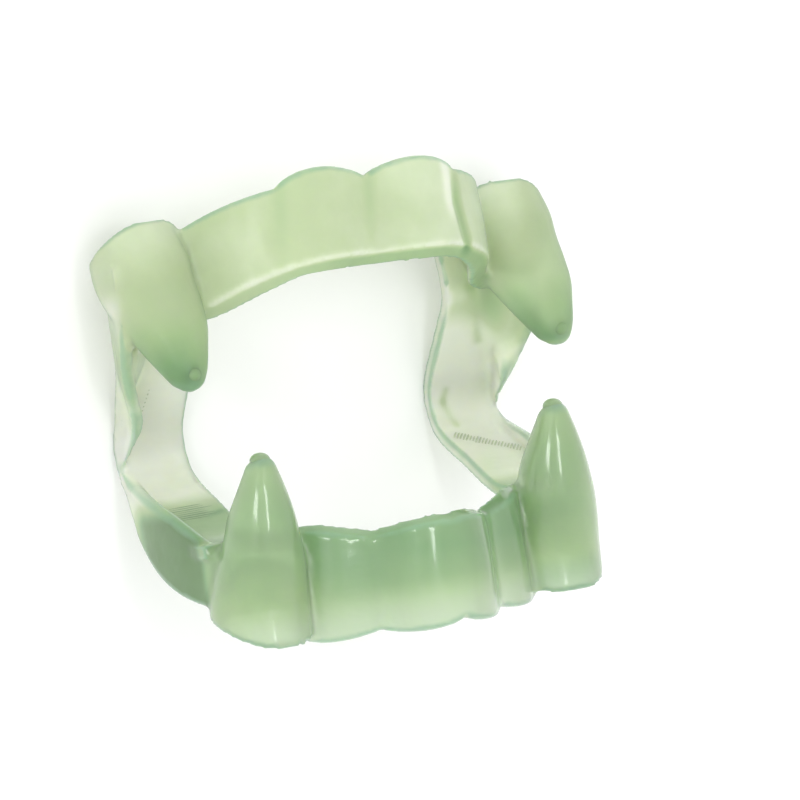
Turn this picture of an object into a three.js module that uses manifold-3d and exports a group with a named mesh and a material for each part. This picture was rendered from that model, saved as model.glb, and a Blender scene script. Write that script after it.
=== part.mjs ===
// Vampire fang denture, one flexible moulding: two short jaws of scalloped teeth with two long fangs each,
// joined behind the cheeks by two springy side bands.
//
// Millimetres. The moulding is first built upright, as it is worn: +X to the wearer's left, -Y to the front,
// +Z up, with the mouth open. It is then turned back about X, because left alone it lies on its back, on the
// bends of its two bands and on the rear corners of its upper gum edge.

import * as THREE from 'three';
import { mergeVertices } from 'three/addons/utils/BufferGeometryUtils.js';
import Module from 'manifold-3d';

const wasm = await Module();
wasm.setup();

// Walls
const gumWall = 1.3;            // wall of a jaw at its gum edge
const upperBiteWall = 2.2;      // the same wall at the bite edge, where it is thickest
const lowerBiteWall = 1.7;
const edgeRound = 0.4;          // how far a wall's edge is rounded in
const fangWall = 1.5;           // wall round the hollow back of a fang

// Upper jaw
const upperJawWidth = 56.2;     // across the upper fangs, the widest part
const upperFangRadius = 5.4;
const upperFangSpread = upperJawWidth - 2 * upperFangRadius; // between the axes of the two fangs
const upperArchDepth = 9.1;     // from the middle of the teeth back to the fang
const upperArchFront = -2.8;    // the middle of the gum edge
const upperBiteHeight = 15.8;   // bite edge at the middle
const upperWallHeight = 8.6;    // bite edge to gum edge at the middle
const upperToothBulge = 0.8;    // how far a tooth stands out of the arch
const upperBiteSlope = 1;       // how much lower the inner corner of the bite edge lies
const upperScallop = 1.5;       // how far the gum edge rises over a middle tooth
const upperSideScallop = 0.2;   // the same over a tooth beside a fang
const upperFangTip = 3.7;       // height of the fang's tip
const upperFangLength = 18.8;
const upperFangSplay = 0.3;     // how far its tip stands outside its gum edge
const upperFangRoot = 10.3;     // where the fang's axis meets the gum edge, front to back
const upperLobeDrop = 0.22;     // how far its gum edge falls towards the cheek, as a share of its length

// Lower jaw
const lowerFangSpread = 37;
const lowerArchDepth = 9.9;
const lowerArchFront = -10.1;
const lowerBiteHeight = -13.2;
const lowerBiteSlope = 0.6;     // how much higher its inner corner lies
const lowerWallHeight = 10.7;
const lowerToothBulge = 0.6;
const lowerScallop = 0.8;
const lowerBiteScallop = 0.4;   // how far its bite edge rises over a tooth
const lowerSideScallop = 0.6;
const lowerFangRadius = 5.4;
const lowerFangTip = -3.2;
const lowerFangLength = 20.7;
const lowerFangRoot = 1.3;
const lowerLobeDrop = 0.2;

// Fangs of both jaws
const capRadius = 1.15;         // the small round nub that ends each fang
const capHeight = 0.55;
const upperHollowEnd = 0.4;     // where the hollow ends, as a share of the fang's length from its tip
const lowerHollowEnd = 0.5;
const cheekReach = 0.25;        // how far the inner side of an upper fang runs back towards its band

// Side bands
const bandWidth = 8.4;
const bandThickness = 1.4;
const bandInner = 15.6;         // from the middle plane to a band's inner edge
const bandDepth = 17.9;         // the bend of the band, behind the origin of the mouth
const sideWall = 1.5;           // the cheek walls that carry the bands
const cornerAcross = 4;         // the corner between a band and its upper cheek wall is filled this far
const cornerAhead = 3.2;        // along the band, and this far along the wall

// The moulding is soft and doesn't lie quite true: each jaw is rolled a little about the front-to-back axis,
// and its two cheek walls lean a little towards -X.
const upperRoll = 1.9;          // degrees, the side of -X raised
const lowerRoll = -0.7;
const cheekLean = 1.1;

// How the arch runs from its middle to the fang. across: share of half the fang spread, back: share of the
// arch's depth, both at the gum edge; narrow: the bite edge's across against the gum's; ahead: how far the
// bite edge stands ahead of the gum edge, lift: how far it lies above the bite edge at the middle, and tall:
// the height of the wall there, all three as shares of the wall's height.
const upperArch = [
  { across: 0.000, back: 0.00, narrow: 1.00, ahead: 0.17, lift: 0.00, tall: 1.00 },
  { across: 0.495, back: 0.03, narrow: 0.98, ahead: 0.17, lift: -0.06, tall: 1.03 },
  { across: 0.820, back: 1.00, narrow: 0.95, ahead: 0.17, lift: -0.43, tall: 1.05 },
  { across: 1.000, back: 1.25, narrow: 0.97, ahead: 0.17, lift: -0.53, tall: 0.85 },
];
const lowerArch = [
  { across: 0.000, back: 0.00, narrow: 1.00, ahead: 0.01, lift: 0.00, tall: 0.99 },
  { across: 0.420, back: 0.53, narrow: 0.96, ahead: 0.04, lift: -0.045, tall: 0.94 },
  { across: 0.815, back: 1.00, narrow: 0.92, ahead: 0.08, lift: 0.11, tall: 1.06 },
  { across: 1.000, back: 1.10, narrow: 0.92, ahead: 0.08, lift: 0.13, tall: 0.80 },
];

// A fang from its tip to its gum edge. level: share of the fang's length from the tip, radius: share of the
// fang's radius, ahead: how far its axis stands ahead of its root, as a share of the fang's length.
const upperFang = [
  { level: 0.000, radius: 0.22, ahead: 0.480 },
  { level: 0.110, radius: 0.45, ahead: 0.440 },
  { level: 0.225, radius: 0.63, ahead: 0.375 },
  { level: 0.365, radius: 0.82, ahead: 0.295 },
  { level: 0.500, radius: 0.95, ahead: 0.190 },
  { level: 0.630, radius: 1.00, ahead: 0.115 },
  { level: 0.780, radius: 1.00, ahead: 0.080 },
  { level: 1.000, radius: 0.88, ahead: 0.000 },
];
const lowerFang = [
  { level: 0.000, radius: 0.22, ahead: 0.230 },
  { level: 0.150, radius: 0.46, ahead: 0.190 },
  { level: 0.290, radius: 0.66, ahead: 0.145 },
  { level: 0.400, radius: 0.76, ahead: 0.120 },
  { level: 0.510, radius: 0.87, ahead: 0.080 },
  { level: 0.640, radius: 0.95, ahead: 0.030 },
  { level: 0.770, radius: 1.00, ahead: -0.015 },
  { level: 1.000, radius: 0.93, ahead: 0.000 },
];

// The middle line of a side band, from the upper jaw down to the lower one. back: share of bandDepth,
// up: height, as a share of bandDepth too, wide: how much wider than bandWidth it is, in millimetres.
const bandPath = [
  { back: 0.680, up: 0.960, wide: 0.5 },
  { back: 0.640, up: 0.760, wide: 0.6 },
  { back: 0.640, up: 0.560, wide: 0.3 },
  { back: 0.785, up: 0.355, wide: -0.6 },
  { back: 0.985, up: 0.090, wide: -0.5 },
  { back: 1.035, up: -0.060, wide: -0.1 },
  { back: 1.000, up: -0.230, wide: 0.0 },
  { back: 0.900, up: -0.340, wide: 0.0 },
  { back: 0.690, up: -0.470, wide: 0.0 },
  { back: 0.380, up: -0.660, wide: 0.0 },
  { back: 0.100, up: -0.700, wide: 0.0 },
];

// The filled corner in front of the upper half of a band. along: share of the band's length from its upper
// end, full: share of the corner's size there.
const bandCorner = [
  { along: 0.02, full: 0.9 },
  { along: 0.15, full: 1.0 },
  { along: 0.25, full: 0.9 },
  { along: 0.36, full: 0.5 },
  { along: 0.47, full: 0.1 },
];

// The cheek walls, from the fang back to the bend. back, low and high are shares of bandDepth, out is how far
// the wall's outer face stands outside the band's outer edge, in millimetres.
const upperCheek = [
  { back: 0.30, low: 0.620, high: 1.020, out: 2.8 },
  { back: 0.40, low: 0.450, high: 1.030, out: 2.5 },
  { back: 0.49, low: 0.320, high: 1.030, out: 2.0 },
  { back: 0.58, low: 0.210, high: 1.010, out: 1.4 },
  { back: 0.65, low: 0.140, high: 0.960, out: 0.9 },
  { back: 0.71, low: 0.080, high: 0.520, out: 0.4 },
  { back: 0.80, low: 0.000, high: 0.370, out: -0.1 },
  { back: 0.90, low: -0.060, high: 0.220, out: -0.3 },
  { back: 0.98, low: -0.100, high: 0.110, out: -0.2 },
];
const lowerCheek = [
  { back: 0.060, low: -1.080, high: -0.720, out: -0.8 },
  { back: 0.180, low: -1.045, high: -0.640, out: -0.4 },
  { back: 0.430, low: -0.960, high: -0.480, out: 0.4 },
  { back: 0.660, low: -0.830, high: -0.370, out: 0.6 },
  { back: 0.840, low: -0.640, high: -0.290, out: 0.4 },
  { back: 0.930, low: -0.460, high: -0.240, out: 0.2 },
  { back: 0.990, low: -0.300, high: -0.180, out: 0.0 },
];

const degrees = Math.PI / 180;
const mix = (a, b, t) => a + (b - a) * t;

const stepsPerTooth = 7;        // sections across one tooth
const pastFang = 0.43;          // how far the tooth wall runs on into the fang, in teeth
const toothFullness = 0.7;      // below one the scallops are fuller, with narrower notches between them
const innerBulge = 0.6;         // how much of a tooth's bulge shows on the inner face
const fangSides = 22;
const bandSteps = 34;
const cheekSteps = 12;
const green = 0xa9cf9f;

const clamp = (v, low, high) => Math.min(high, Math.max(low, v));
const ease = (t) => { const k = clamp(t, 0, 1); return k * k * (3 - 2 * k); };

// Reads one column of a table at any value of its first column, on a smooth curve through its rows.
function column(rows, key, name, at) {
  const last = rows.length - 1;
  let i = 0;
  while (i < last - 1 && at > rows[i + 1][key]) i += 1;
  const [a, b] = [rows[i], rows[i + 1]];
  const before = rows[Math.max(i - 1, 0)];
  const after = rows[Math.min(i + 2, last)];
  const span = b[key] - a[key];
  const t = clamp((at - a[key]) / span, 0, 1);
  const slopeA = i > 0 ? (b[name] - before[name]) / (b[key] - before[key]) : (b[name] - a[name]) / span;
  const slopeB = i + 2 <= last ? (after[name] - a[name]) / (after[key] - a[key]) : (b[name] - a[name]) / span;
  const [t2, t3] = [t * t, t * t * t];
  return (2 * t3 - 3 * t2 + 1) * a[name] + (t3 - 2 * t2 + t) * span * slopeA
    + (3 * t2 - 2 * t3) * b[name] + (t3 - t2) * span * slopeB;
}

// A closed solid through a row of rings. Each ring runs out along one face and back along the other, so its
// points pair up across the wall, and the two ends are closed by strips between the pairs.
function loft(rings, slack) {
  const size = rings[0].length;
  const points = rings.flat();
  const faces = [];
  for (let i = 0; i + 1 < rings.length; i += 1) {
    for (let j = 0; j < size; j += 1) {
      const [a, b] = [i * size + j, i * size + (j + 1) % size];
      faces.push([a, b, b + size], [a, b + size, a + size]);
    }
  }
  const capEnd = (first, flip) => {
    for (let j = 0; j + 1 < size / 2; j += 1) {
      const [a, b] = [first + j, first + j + 1];
      const [c, d] = [first + size - 2 - j, first + size - 1 - j];
      const strip = b === c ? [[a, b, d]] : [[a, b, c], [a, c, d]];
      strip.forEach((face) => faces.push(flip ? face : face.reverse()));
    }
  };
  capEnd(0, false);
  capEnd((rings.length - 1) * size, true);
  return solid(points.map(slack), faces);
}

// Turns points and faces into a solid whose faces point out.
function solid(points, faces) {
  const geometry = new THREE.BufferGeometry();
  geometry.setAttribute('position', new THREE.Float32BufferAttribute(points.flat(), 3));
  geometry.setIndex(faces.flat());
  const merged = mergeVertices(geometry, 1e-4);
  const at = merged.getAttribute('position').array;
  const index = Array.from(merged.index.array);
  let volume = 0;
  for (let i = 0; i < index.length; i += 3) {
    const [a, b, c] = [0, 1, 2].map((k) => new THREE.Vector3().fromArray(at, index[i + k] * 3));
    volume += a.dot(b.cross(c));
  }
  if (volume < 0) {
    for (let i = 0; i < index.length; i += 3) [index[i], index[i + 1]] = [index[i + 1], index[i]];
  }
  return new wasm.Manifold(new wasm.Mesh({
    numProp: 3, vertProperties: new Float32Array(at), triVerts: new Uint32Array(index),
  }));
}

const jawSlack = (roll) => ([x, y, z]) => [x, y, z - x * Math.tan(roll * degrees)];

// How far the cheek side of the upper cheek walls and bands leans over at a height.
const leanAt = (z) => cheekLean * ease(z / 8);

// The bands and cheek walls follow the jaw they are nearer to.
function bandSlack([x, y, z]) {
  const roll = mix(lowerRoll, upperRoll, ease(z / 24 + 0.5));
  return jawSlack(roll)([x, y, z]);
}

const upperJaw = {
  up: 1, roll: upperRoll, splay: upperFangSplay,
  spread: upperFangSpread, depth: upperArchDepth, front: upperArchFront,
  bite: upperBiteHeight, biteSlope: upperBiteSlope, height: upperWallHeight,
  biteWall: upperBiteWall, arch: upperArch,
  bulge: upperToothBulge, scallop: upperScallop, sideScallop: upperSideScallop, biteScallop: 0,
  fang: upperFang, fangRadius: upperFangRadius, fangLength: upperFangLength, tip: upperFangTip,
  root: upperFangRoot, lobeDrop: upperLobeDrop, hollowEnd: upperHollowEnd, reach: cheekReach,
};
const lowerJaw = {
  up: -1, roll: lowerRoll, splay: 0, spread: lowerFangSpread, depth: lowerArchDepth, front: lowerArchFront,
  bite: lowerBiteHeight, biteSlope: lowerBiteSlope, height: lowerWallHeight,
  biteWall: lowerBiteWall, arch: lowerArch,
  bulge: lowerToothBulge, scallop: lowerScallop, sideScallop: lowerSideScallop,
  biteScallop: lowerBiteScallop,
  fang: lowerFang, fangRadius: lowerFangRadius, fangLength: lowerFangLength, tip: lowerFangTip,
  root: lowerFangRoot, lobeDrop: lowerLobeDrop, hollowEnd: lowerHollowEnd, reach: 0,
};

// The arch's plan at a place along it: 0 is the middle, 1 the line between two teeth, 2 the line at the fang.
function archAt(jaw, along) {
  const mirrored = { ...jaw.arch[1], across: -jaw.arch[1].across };
  const rows = [mirrored, ...jaw.arch].map((row, i) => ({ ...row, line: i - 1 }));
  const side = Math.sign(along) || 1;
  const read = (name) => column(rows, 'line', name, Math.abs(along));
  const across = side * read('across') * jaw.spread / 2;
  const back = jaw.front + read('back') * jaw.depth;
  const bite = jaw.bite + read('lift') * jaw.height;
  const [ahead, tall] = [read('ahead') * jaw.height, read('tall') * jaw.height];
  return { across, back, bite, ahead, tall, narrow: read('narrow') };
}

// The wall of a jaw with its row of teeth, from one fang to the other.
function teeth(jaw) {
  const steps = Math.round((2 + pastFang) * stepsPerTooth);
  const nearby = 0.08;          // the arch's direction is read this far either side
  const heights = [0, 0.06, 0.3, 0.55, 0.8, 0.95, 1];
  const rings = [];
  for (let i = -steps; i <= steps; i += 1) {
    const along = i / stepsPerTooth;
    const here = archAt(jaw, along);
    const [before, after] = [archAt(jaw, along - nearby), archAt(jaw, along + nearby)];
    const run = new THREE.Vector2(after.across - before.across, after.back - before.back).normalize();
    const out = new THREE.Vector2(run.y, -run.x);
    const wave = Math.abs(along) < 2 ? Math.abs(Math.sin(Math.PI * along)) : 0;
    const crown = wave ** toothFullness;
    const rise = crown * (Math.abs(along) < 1 ? jaw.scallop : jaw.sideScallop);
    const edgeLift = jaw.up * jaw.biteScallop * crown;
    const face = (high, inset, share) => {
      const round = high === 0 || high === 1 ? edgeRound : 0;
      const fullest = Math.sin(Math.PI * mix(0.15, 0.85, high));
      const swell = jaw.bulge * wave ** 2 * mix(0.55, 1, fullest) * share;
      const offset = swell - inset - (inset > 0 ? -round : round);
      const narrow = mix(here.narrow, 1, high);
      const slope = inset > 0 ? jaw.up * jaw.biteSlope : 0;
      return [
        here.across * narrow + out.x * offset,
        here.back - here.ahead * (1 - high) + out.y * offset,
        here.bite - (edgeLift + slope) * (1 - high) + jaw.up * high * (here.tall + rise),
      ];
    };
    const outer = heights.map((high) => face(high, 0, 1));
    const inner = heights.map((high) => face(high, mix(jaw.biteWall, gumWall, high), innerBulge));
    rings.push([...outer, ...inner.reverse()]);
  }
  return loft(rings, jawSlack(jaw.roll));
}

// Where the axis of a fang runs, and how wide the fang is, at a level from its tip.
function fangAt(jaw, side, level) {
  return {
    x: side * (jaw.spread / 2 + jaw.splay * (1 - level)),
    y: jaw.root - column(jaw.fang, 'level', 'ahead', level) * jaw.fangLength,
    z: jaw.tip + jaw.up * level * jaw.fangLength,
    radius: column(jaw.fang, 'level', 'radius', level) * jaw.fangRadius,
  };
}

// A ring round a fang's axis. The angle runs from straight ahead towards the cheek. The gum edge is highest in
// front and falls away on the cheek side, as a rounded lobe.
function fangRing(jaw, side, share) {
  const ring = [];
  const innerFall = 0.05;       // the gum edge falls this share of the length on the side of the teeth
  for (let i = 0; i < fangSides; i += 1) {
    const angle = (i / fangSides) * 2 * Math.PI;
    const turn = angle > Math.PI ? angle - 2 * Math.PI : angle;
    const towardsCheek = ease((turn / degrees - 10) / 120);
    const towardsTeeth = ease((-turn / degrees - 20) / 60);
    const fall = jaw.lobeDrop * towardsCheek + innerFall * towardsTeeth;
    const lobe = 1 - Math.max(fall, turn < -100 * degrees ? jaw.lobeDrop : 0);
    const here = fangAt(jaw, side, share * mix(1, lobe, ease(share)));
    const backwards = ease((-turn / degrees - 90) / 30) * ease((turn / degrees + 180) / 30);
    const innerBack = turn < 0 ? jaw.reach * backwards * ease(share * 2 - 0.7) : 0;
    ring.push([
      here.x + side * Math.sin(angle) * here.radius,
      here.y - Math.cos(angle) * here.radius * (1 + innerBack),
      here.z,
    ]);
  }
  return ring;
}

// Closes a stack of rings with a point at each end.
function ringStack(rings, startPoint, endPoint, slack) {
  const size = rings[0].length;
  const points = [...rings.flat(), startPoint, endPoint];
  const faces = [];
  for (let i = 0; i + 1 < rings.length; i += 1) {
    for (let j = 0; j < size; j += 1) {
      const [a, b] = [i * size + j, i * size + (j + 1) % size];
      faces.push([a, b, b + size], [a, b + size, a + size]);
    }
  }
  const last = (rings.length - 1) * size;
  for (let j = 0; j < size; j += 1) {
    const next = (j + 1) % size;
    faces.push([next, j, points.length - 2], [last + j, last + next, points.length - 1]);
  }
  return solid(points.map(slack), faces);
}

const centre = (ring) => [0, 1, 2].map((k) => ring.reduce((sum, p) => sum + p[k], 0) / ring.length);

// A fang: a cone with a small nub at its tip. Its gum half is hollowed out afterwards.
function fang(jaw, side) {
  const levels = [0.035, 0.08, 0.15, 0.23, 0.31, 0.4, 0.5, 0.6, 0.7, 0.8, 0.9, 1];
  const body = levels.map((level) => fangRing(jaw, side, level));
  const tip = fangAt(jaw, side, 0);
  const nub = [0.05, 0.5, 0.85].map((share) => {
    const radius = capRadius * Math.sqrt(1 - (1 - share) ** 2);
    return Array.from({ length: fangSides }, (unused, i) => {
      const angle = (i / fangSides) * 2 * Math.PI;
      return [
        tip.x + side * Math.sin(angle) * radius,
        tip.y - Math.cos(angle) * radius,
        tip.z + jaw.up * share * capHeight,
      ];
    });
  });
  return ringStack([...nub, ...body], [tip.x, tip.y, tip.z], centre(body.at(-1)), jawSlack(jaw.roll));
}

// The room inside a fang, open at the gum edge, with a round end near the bite edge.
function hollow(jaw, side) {
  const rings = [];
  const steps = 8;
  const pastGum = 1.15;         // the cut runs out past the gum edge
  const roundEnd = 2.5;         // the end is rounded over one part in this many of the cut
  for (let i = 0; i <= steps; i += 1) {
    const share = i / steps;
    const level = mix(jaw.hollowEnd, pastGum, share);
    const narrow = Math.sqrt(1 - (1 - clamp(share * roundEnd, 0.15, 1)) ** 2);
    const here = fangAt(jaw, side, Math.min(level, 1));
    const radius = (here.radius - fangWall) * narrow;
    const ring = [];
    for (let j = 0; j < fangSides; j += 1) {
      const angle = (j / fangSides) * 2 * Math.PI;
      ring.push([
        here.x + side * Math.sin(angle) * radius,
        here.y - Math.cos(angle) * radius,
        jaw.tip + jaw.up * level * jaw.fangLength,
      ]);
    }
    rings.push(ring);
  }
  return ringStack(rings, centre(rings[0]), centre(rings.at(-1)), jawSlack(jaw.roll));
}

const bandLine = new THREE.CatmullRomCurve3(bandPath.map((row) => (
  new THREE.Vector3(0, row.back * bandDepth, row.up * bandDepth)
)), false, 'centripetal');

// A springy band: a flat strip that follows its path from jaw to jaw.
function band(side) {
  const fromBelow = [...bandPath].reverse();
  const rings = [];
  for (let i = 0; i <= bandSteps; i += 1) {
    const here = bandLine.getPointAt(i / bandSteps);
    const run = bandLine.getTangentAt(i / bandSteps);
    const across = [-run.z, run.y].map((v) => v * bandThickness / 2);
    const up = here.z / bandDepth;
    const wide = column(fromBelow, 'up', 'wide', up);
    const [inner, outer] = [bandInner, bandInner + bandWidth + wide];
    const spot = (x, way) => [x, here.y + way * across[0], here.z + way * across[1]];
    const cheekSide = side * outer - leanAt(here.z);
    rings.push([spot(side * inner, -1), spot(cheekSide, -1), spot(cheekSide, 1), spot(side * inner, 1)]);
  }
  return loft(rings, bandSlack);
}

// The filled corner between the front of a band and the inner face of its upper cheek wall.
function corner(side) {
  const steps = 12;
  const outer = bandInner + bandWidth;
  const rings = [];
  for (let i = 0; i <= steps; i += 1) {
    const at = mix(bandCorner[0].along, bandCorner.at(-1).along, i / steps);
    const full = column(bandCorner, 'along', 'full', at);
    const here = bandLine.getPointAt(at);
    const run = bandLine.getTangentAt(at);
    const spot = (x, ahead) => [
      side * x - leanAt(here.z), here.y + run.z * ahead, here.z - run.y * ahead,
    ];
    const front = bandThickness / 2 + cornerAhead * full;
    rings.push([spot(outer - cornerAcross * full, 0), spot(outer, front), spot(outer, 0)]);
  }
  return ringStack(rings, centre(rings[0]), centre(rings.at(-1)), bandSlack);
}

// A cheek wall: the side of a jaw carried back from the fang to its band.
function cheek(rows, side) {
  const levels = [0, 0.08, 0.5, 0.92, 1];
  const rings = [];
  for (let i = 0; i <= cheekSteps; i += 1) {
    const at = mix(rows[0].back, rows.at(-1).back, i / cheekSteps);
    const [low, high] = ['low', 'high'].map((name) => column(rows, 'back', name, at) * bandDepth);
    const outer = bandInner + bandWidth + column(rows, 'back', 'out', at);
    const face = (x, way) => levels.map((level) => {
      const round = level === 0 || level === 1 ? edgeRound : 0;
      const z = mix(low, high, level);
      return [side * (x + way * round) - leanAt(z), at * bandDepth, z];
    });
    rings.push([...face(outer, -1), ...face(outer - sideWall, 1).reverse()]);
  }
  return loft(rings, bandSlack);
}

// A jaw: its teeth and both fangs in one, then hollowed.
function jawOf(jaw) {
  let whole = teeth(jaw);
  for (const side of [-1, 1]) whole = whole.add(fang(jaw, side));
  for (const side of [-1, 1]) whole = whole.subtract(hollow(jaw, side));
  return whole;
}

function moulding() {
  let whole = jawOf(upperJaw).add(jawOf(lowerJaw));
  for (const side of [-1, 1]) {
    whole = whole.add(band(side)).add(corner(side));
    whole = whole.add(cheek(upperCheek, side)).add(cheek(lowerCheek, side));
  }
  return whole;
}

// How the moulding lies by itself on its back, seen from the side: the longest stretch of its outline, wrapped
// tight, that its centre of mass stands over, among those that face back.
function lieDown(geometry) {
  const at = geometry.getAttribute('position');
  const index = geometry.index;
  const points = [];
  for (let i = 0; i < at.count; i += 1) points.push([at.getY(i), at.getZ(i)]);
  const mass = { volume: 0, y: 0, z: 0 };
  for (let i = 0; i < index.count; i += 3) {
    const [a, b, c] = [0, 1, 2].map((k) => new THREE.Vector3().fromBufferAttribute(at, index.getX(i + k)));
    const part = a.dot(b.clone().cross(c));
    mass.volume += part;
    mass.y += part * (a.y + b.y + c.y) / 4;
    mass.z += part * (a.z + b.z + c.z) / 4;
  }
  const middle = [mass.y / mass.volume, mass.z / mass.volume];
  points.sort((a, b) => a[0] - b[0] || a[1] - b[1]);
  const turn = (o, a, b) => (a[0] - o[0]) * (b[1] - o[1]) - (a[1] - o[1]) * (b[0] - o[0]);
  const wrap = (list) => list.reduce((hull, p) => {
    while (hull.length > 1 && turn(hull.at(-2), hull.at(-1), p) <= 0) hull.pop();
    hull.push(p);
    return hull;
  }, []);
  const outline = [...wrap(points).slice(0, -1), ...wrap(points.reverse())];
  let best = { span: 0 };
  for (let i = 0; i + 1 < outline.length; i += 1) {
    const [a, b] = [outline[i], outline[i + 1]];
    const span = Math.hypot(b[0] - a[0], b[1] - a[1]);
    const along = [(b[0] - a[0]) / span, (b[1] - a[1]) / span];
    const foot = (middle[0] - a[0]) * along[0] + (middle[1] - a[1]) * along[1];
    const facesBack = along[1] > Math.SQRT1_2;
    if (facesBack && foot > 0 && foot < span && span > best.span) best = { span, along };
  }
  return Math.atan2(best.along[0], best.along[1]) - Math.PI / 2;
}

function toGeometry(body) {
  const mesh = body.getMesh();
  const geometry = new THREE.BufferGeometry();
  geometry.setAttribute('position', new THREE.Float32BufferAttribute(mesh.vertProperties, 3));
  geometry.setIndex(new THREE.BufferAttribute(mesh.triVerts, 1));
  return geometry;
}

const plastic = new THREE.MeshStandardMaterial({ color: green, roughness: 0.25, metalness: 0 });
const upright = toGeometry(moulding());
const lying = upright.clone().rotateX(lieDown(upright));
lying.computeBoundingBox();
const { min, max } = lying.boundingBox;
const denture = new THREE.Mesh(lying, plastic);
denture.name = 'fang_denture';
denture.position.set(0, -(min.y + max.y) / 2, -min.z);

const model = new THREE.Group();
model.add(denture);

export default model;
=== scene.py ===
import math
import bpy
import numpy as np
from mathutils import Matrix, Vector
from mathutils.bvhtree import BVHTree


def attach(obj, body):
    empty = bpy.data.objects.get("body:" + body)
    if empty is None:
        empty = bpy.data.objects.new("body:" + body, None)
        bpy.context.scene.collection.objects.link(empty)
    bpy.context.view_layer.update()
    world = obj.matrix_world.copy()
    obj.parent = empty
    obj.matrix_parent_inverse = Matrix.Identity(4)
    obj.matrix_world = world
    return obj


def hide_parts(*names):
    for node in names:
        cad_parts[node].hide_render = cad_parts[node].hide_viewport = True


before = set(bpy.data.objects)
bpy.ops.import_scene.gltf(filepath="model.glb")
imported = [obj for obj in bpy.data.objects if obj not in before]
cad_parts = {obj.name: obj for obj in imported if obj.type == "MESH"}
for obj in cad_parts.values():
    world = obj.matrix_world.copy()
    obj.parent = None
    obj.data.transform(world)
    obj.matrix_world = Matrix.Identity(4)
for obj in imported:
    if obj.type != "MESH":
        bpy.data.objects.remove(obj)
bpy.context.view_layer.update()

# The vampire fang denture: one milky pale green moulding. It is shaped upright, as it is worn, in millimetres
# (+X to the wearer's left, -Y to the front, +Z up), and laid on its back at the end, as the frame has it.

MM = 0.001
LIE_TURN = math.radians(-102.990946)
LIE_SHIFT = Vector((0.0, -1.349834, 18.623024))


def laid_down():
    return Matrix.Translation(LIE_SHIFT) @ Matrix.Rotation(LIE_TURN, 4, "X")


# Camera: the photograph's angle to the upright denture

CAMERA_TURN = math.radians(-29.944)
CAMERA_RISE = math.radians(1.688)
CAMERA_ROLL = math.radians(-8.639)
CAMERA_AWAY = 1000.00
CAMERA_AIM = Vector((1.597, 0.0, -0.093))
LENS_MM = 416.46


def camera_axes():
    """The camera's right, up and back, upright."""
    back = Vector((math.sin(CAMERA_TURN) * math.cos(CAMERA_RISE),
                   -math.cos(CAMERA_TURN) * math.cos(CAMERA_RISE), math.sin(CAMERA_RISE)))
    level = Vector((math.cos(CAMERA_TURN), math.sin(CAMERA_TURN), 0.0))
    up = back.cross(level)
    c, s = math.cos(CAMERA_ROLL), math.sin(CAMERA_ROLL)
    return c * level + s * up, c * up - s * level, back


def place_camera():
    right, up, back = camera_axes()
    spot = CAMERA_AIM + back * CAMERA_AWAY
    turn = Matrix((right, up, back)).transposed().to_4x4()
    whole = laid_down() @ Matrix.Translation(spot) @ turn
    whole.translation = whole.translation * MM
    data = bpy.data.cameras.new("photo_camera")
    data.lens = LENS_MM
    data.sensor_width = 36.0
    data.clip_start, data.clip_end = 0.05, 5.0
    camera = bpy.data.objects.new("photo_camera", data)
    camera.matrix_world = whole
    bpy.context.scene.collection.objects.link(camera)
    bpy.context.scene.camera = camera


place_camera()


# Small tools for shaping

def mix(a, b, t):
    return a + (b - a) * t


def ease(t):
    k = min(max(t, 0.0), 1.0)
    return k * k * (3 - 2 * k)


def column(rows, key, name, at):
    """Reads one column of a table of rows on a smooth curve, at any value of its first column."""
    last = len(rows) - 1
    i = 0
    while i < last - 1 and at > rows[i + 1][key]:
        i += 1
    a, b = rows[i], rows[i + 1]
    before, after = rows[max(i - 1, 0)], rows[min(i + 2, last)]
    span = b[key] - a[key]
    t = min(max((at - a[key]) / span, 0.0), 1.0)
    slope_a = (b[name] - before[name]) / (b[key] - before[key]) if i > 0 else (b[name] - a[name]) / span
    slope_b = (after[name] - a[name]) / (after[key] - a[key]) if i + 2 <= last else (b[name] - a[name]) / span
    t2, t3 = t * t, t * t * t
    return ((2 * t3 - 3 * t2 + 1) * a[name] + (t3 - 2 * t2 + t) * span * slope_a
            + (3 * t2 - 2 * t3) * b[name] + (t3 - t2) * span * slope_b)


def rows(keys, *values):
    return [dict(zip(keys.split(), row)) for row in values]


def solid(name, points, faces):
    """A closed piece whose faces point out."""
    mesh = bpy.data.meshes.new(name)
    mesh.from_pydata([tuple(p) for p in points], [], faces)
    mesh.validate()
    piece = bpy.data.objects.new(name, mesh)
    bpy.context.scene.collection.objects.link(piece)
    corners = np.array([mesh.vertices[v].co for face in mesh.polygons for v in list(face.vertices)[:3]])
    a, b, c = corners[0::3], corners[1::3], corners[2::3]
    if np.einsum("ij,ij->i", a, np.cross(b, c)).sum() < 0:
        mesh.flip_normals()
    return piece


def loft(name, rings, slack):
    """A closed piece through a row of rings; each ring runs out along one face and back along the other."""
    size = len(rings[0])
    points = [p for ring in rings for p in ring]
    faces = []
    for i in range(len(rings) - 1):
        for j in range(size):
            a, b = i * size + j, i * size + (j + 1) % size
            faces.append((a, b, b + size, a + size))
    for first, flip in ((0, False), ((len(rings) - 1) * size, True)):
        for j in range(size // 2 - 1):
            strip = (first + j, first + j + 1, first + size - 2 - j, first + size - 1 - j)
            faces.append(strip if flip else strip[::-1])
    return solid(name, [slack(*p) for p in points], faces)


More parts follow.
